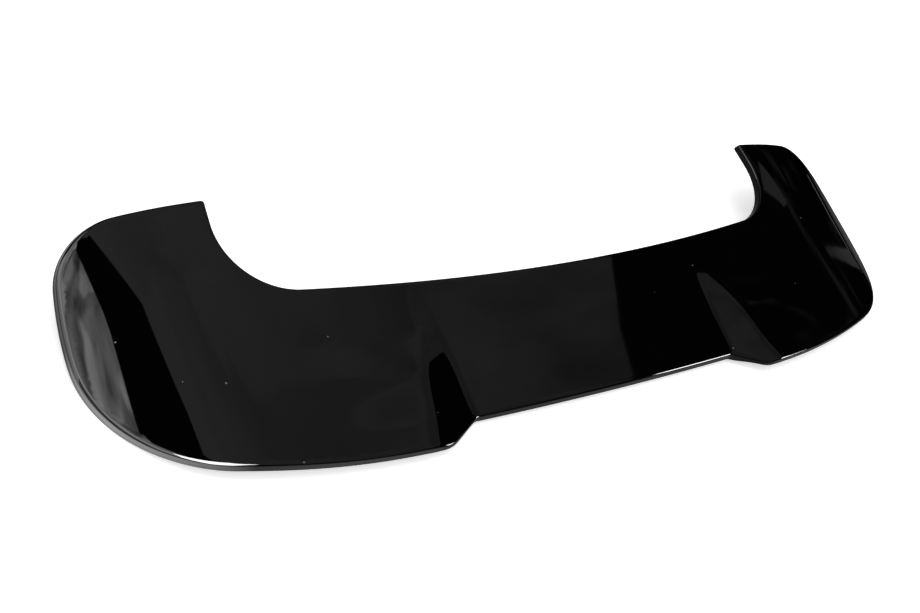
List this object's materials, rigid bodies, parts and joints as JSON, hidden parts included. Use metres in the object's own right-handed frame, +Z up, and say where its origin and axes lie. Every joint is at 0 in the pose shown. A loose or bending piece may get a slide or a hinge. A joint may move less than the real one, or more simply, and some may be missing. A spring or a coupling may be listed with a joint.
{
  "type": "car roof spoiler",
  "caption": "Hatchback roof spoiler cap: thin gloss-black moulding with forward horns, rear lobes beside a recessed trailing edge, drooped ends and a turned-down lip; bonds onto the roof edge.",
  "frame": {"origin": "on the floor, under the middle of the part's box, as it lies at rest on its lips", "axes": "+X across the car to the part's right-hand end, +Y forwards towards the horns, +Z up off the floor"},
  "size_m": [1.1738, 0.3169, 0.0798],
  "materials": {
    "gloss_black": "high gloss"
  },
  "bodies": {
    "root": {"spoiler_shell": "gloss_black"}
  },
  "joints": []
}
